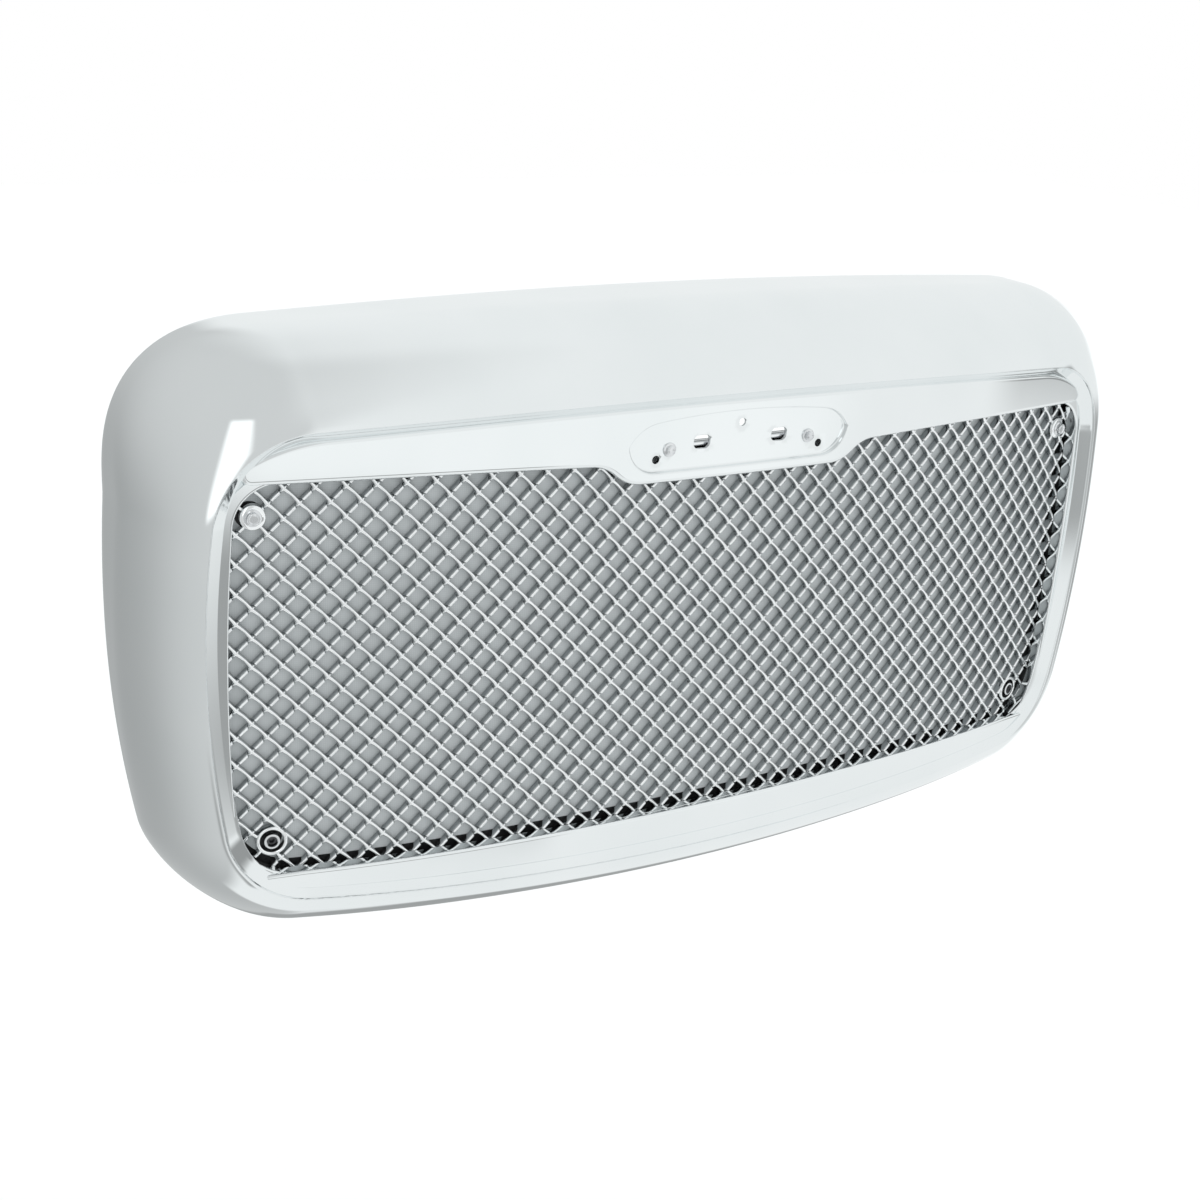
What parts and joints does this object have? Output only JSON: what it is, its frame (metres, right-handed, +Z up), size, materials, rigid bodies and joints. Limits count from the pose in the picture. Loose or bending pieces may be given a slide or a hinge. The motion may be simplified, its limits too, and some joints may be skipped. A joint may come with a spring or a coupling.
{
  "type": "truck grille",
  "caption": "Wide bowed chrome truck grille with a diamond mesh insert, a brow with a badge recess, a sill, and a bug screen and mounting straps behind.",
  "frame": {"origin": "centre of the four mounting studs, on the rear faces of the two outer straps", "axes": "+X to the right seen from the front, +Y to the rear along the studs, +Z up"},
  "size_m": [1.326, 0.2082, 0.6796],
  "materials": {
    "chrome_moulding": "bright chrome plating on a plastic moulding, slightly orange-peeled on the back",
    "chrome_mesh": "bright chrome plating",
    "screen_wire": "satin woven wire",
    "black_frame": "matt black, lightly grained",
    "rivet_metal": "satin",
    "bright_bolt": "bright zinc",
    "chrome_sleeve": "bright chrome plating",
    "dark_screw": "black oxide",
    "zinc_steel": "zinc plated",
    "plate_steel": "zinc plated",
    "strap_steel": "zinc plated, satin",
    "pad_rubber": "matt black",
    "seal_foam": "closed-cell foam, matt dark grey"
  },
  "bodies": {
    "root": {"surround_shell": "chrome_moulding", "mesh_insert": "chrome_mesh", "bug_screen": "screen_wire", "screen_frame": "black_frame", "screen_rivets": "rivet_metal", "upper_corner_bolts": "bright_bolt", "lower_boss_sleeves": "chrome_sleeve", "lower_corner_screws": "dark_screw", "corner_washers": "zinc_steel", "corner_nuts": "zinc_steel", "badge_bolts": "bright_bolt", "badge_backing_plate": "plate_steel", "badge_nuts": "zinc_steel", "strap_outer_left": "strap_steel", "strap_outer_right": "strap_steel", "strap_inner_left": "strap_steel", "strap_inner_right": "strap_steel", "outer_strap_pads": "pad_rubber", "inner_strap_pads": "pad_rubber", "strap_washers": "zinc_steel", "strap_screws": "zinc_steel", "mounting_studs": "zinc_steel", "rim_seal": "seal_foam"}
  },
  "joints": []
}
